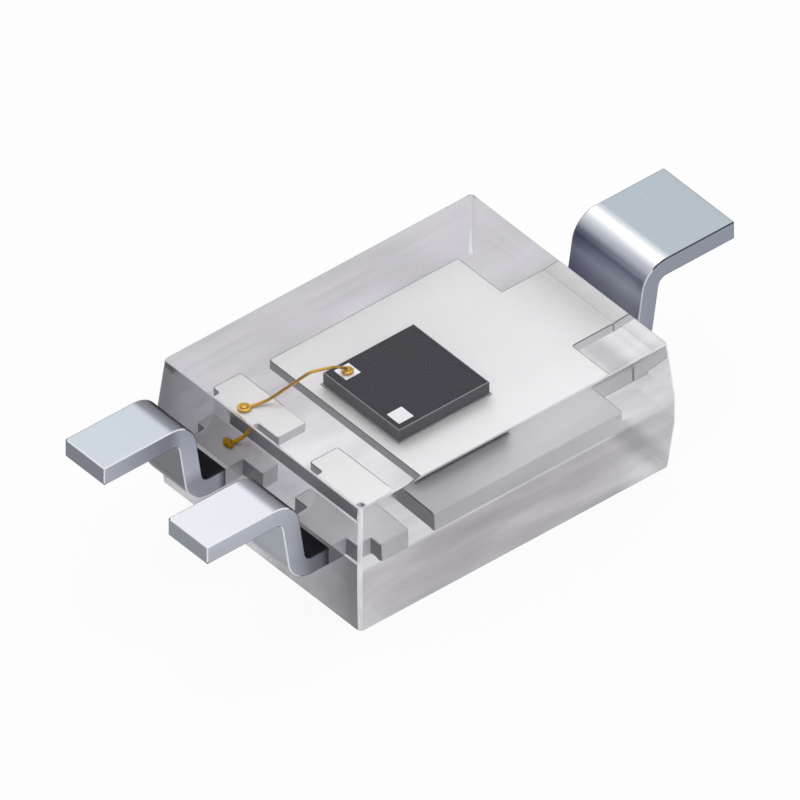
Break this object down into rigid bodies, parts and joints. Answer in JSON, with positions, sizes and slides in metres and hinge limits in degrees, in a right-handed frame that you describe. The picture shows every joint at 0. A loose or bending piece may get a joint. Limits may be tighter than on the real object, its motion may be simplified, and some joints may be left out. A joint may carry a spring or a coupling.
{
  "type": "ambient light sensor",
  "caption": "Silicon photodiode chip on a silver-plated leadframe in a clear drafted package, with leads formed up past its light window for face-down soldering.",
  "frame": {"origin": "middle of the package's underside, on the surface it rests on", "axes": "+X along the wide lead that carries the chip, +Z out of the light window"},
  "size_m": [0.0046, 0.002, 0.0011],
  "materials": {
    "clear_epoxy": "polished clear moulded epoxy",
    "silver_plate": "satin silver plate on stamped copper alloy",
    "coated_silicon": "dark anti-reflection coating on sawn silicon",
    "silver_epoxy": "cured silver-filled epoxy",
    "pad_aluminium": "evaporated aluminium",
    "gold_wire": "drawn gold wire"
  },
  "bodies": {
    "root": {"clear_package": "clear_epoxy", "die_pad_lead": "silver_plate", "bonded_lead": "silver_plate", "spare_lead": "silver_plate", "photodiode_chip": "coated_silicon", "die_attach": "silver_epoxy", "wired_bond_pad": "pad_aluminium", "spare_bond_pad": "pad_aluminium", "bond_wire": "gold_wire"}
  },
  "joints": []
}
